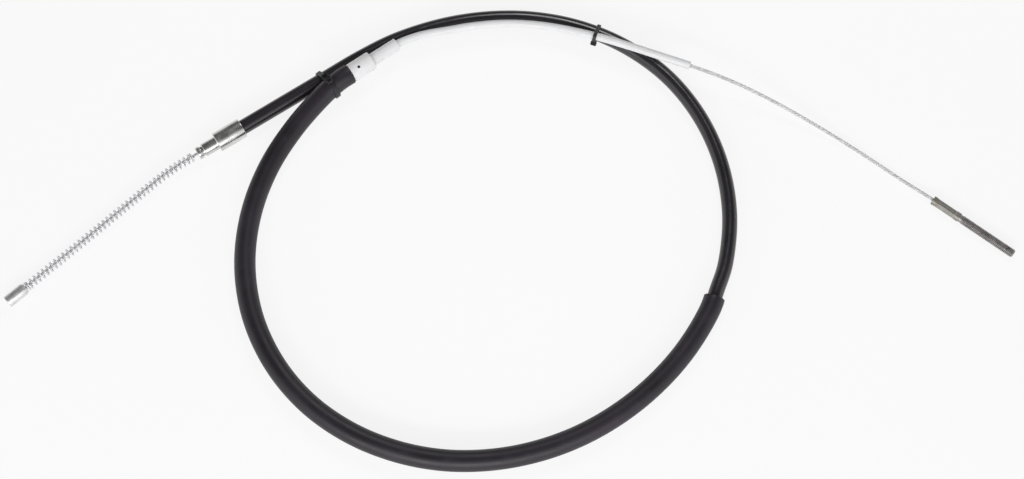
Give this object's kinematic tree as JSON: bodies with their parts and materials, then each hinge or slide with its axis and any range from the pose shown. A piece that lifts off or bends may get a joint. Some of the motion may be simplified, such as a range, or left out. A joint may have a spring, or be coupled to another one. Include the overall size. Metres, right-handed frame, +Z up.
{
  "type": "parking brake cable",
  "caption": "Sheathed brake cable in one loose loop, with return spring and nipple at one end and a threaded rod at the other.",
  "frame": {"origin": "on the floor under the middle of the laid out cable's footprint", "axes": "+X along the cable's longest side, from the nipple end to the threaded rod end; +Z up from the floor, the shortest side; +Y to the side where the conduit carries the guide tube"},
  "size_m": [0.6504, 0.3129, 0.0242],
  "materials": {
    "jacket_black": "semi-gloss extruded plastic",
    "hose_black": "dull extruded rubber",
    "plated_steel": "bright zinc plate with turning marks",
    "spring_steel": "drawn wire, bright",
    "wire_steel": "galvanised strand",
    "rod_steel": "dark steel with a yellowish tint on the sleeve",
    "armour_steel": "dull flat wire",
    "liner_plastic": "waxy plastic",
    "white_plastic": "satin moulded plastic",
    "tie_black": "satin moulded nylon"
  },
  "bodies": {
    "conduit": {"wheel_end_ferrule": "plated_steel", "conduit_jacket": "jacket_black", "conduit_armour": "armour_steel", "conduit_liner": "liner_plastic", "protective_hose": "hose_black", "lever_end_fitting": "white_plastic", "guide_tube": "white_plastic", "cable_tie_hose": "tie_black", "cable_tie_tube": "tie_black", "inner_wire_middle": "wire_steel"},
    "wheel_end": {"inner_wire_wheel_end": "wire_steel", "wheel_end_nipple": "plated_steel", "return_spring": "spring_steel"},
    "lever_end": {"inner_wire_lever_end": "wire_steel", "threaded_end_rod": "rod_steel"}
  },
  "joints": [
    {"name": "wheel_end_slide", "type": "slide", "parent": "conduit", "child": "wheel_end", "axis": [0.8358, 0.549, 0], "range_m": [0, 0.025], "stiffness_N_per_m": 830, "deforming": ["return_spring"]},
    {"name": "lever_end_slide", "type": "slide", "parent": "conduit", "child": "lever_end", "axis": [0.9421, -0.3355, 0], "range_m": [0, 0.025]}
  ],
  "couplings": [
    {"joint": "lever_end_slide", "follows": "wheel_end_slide", "ratio": 1}
  ]
}
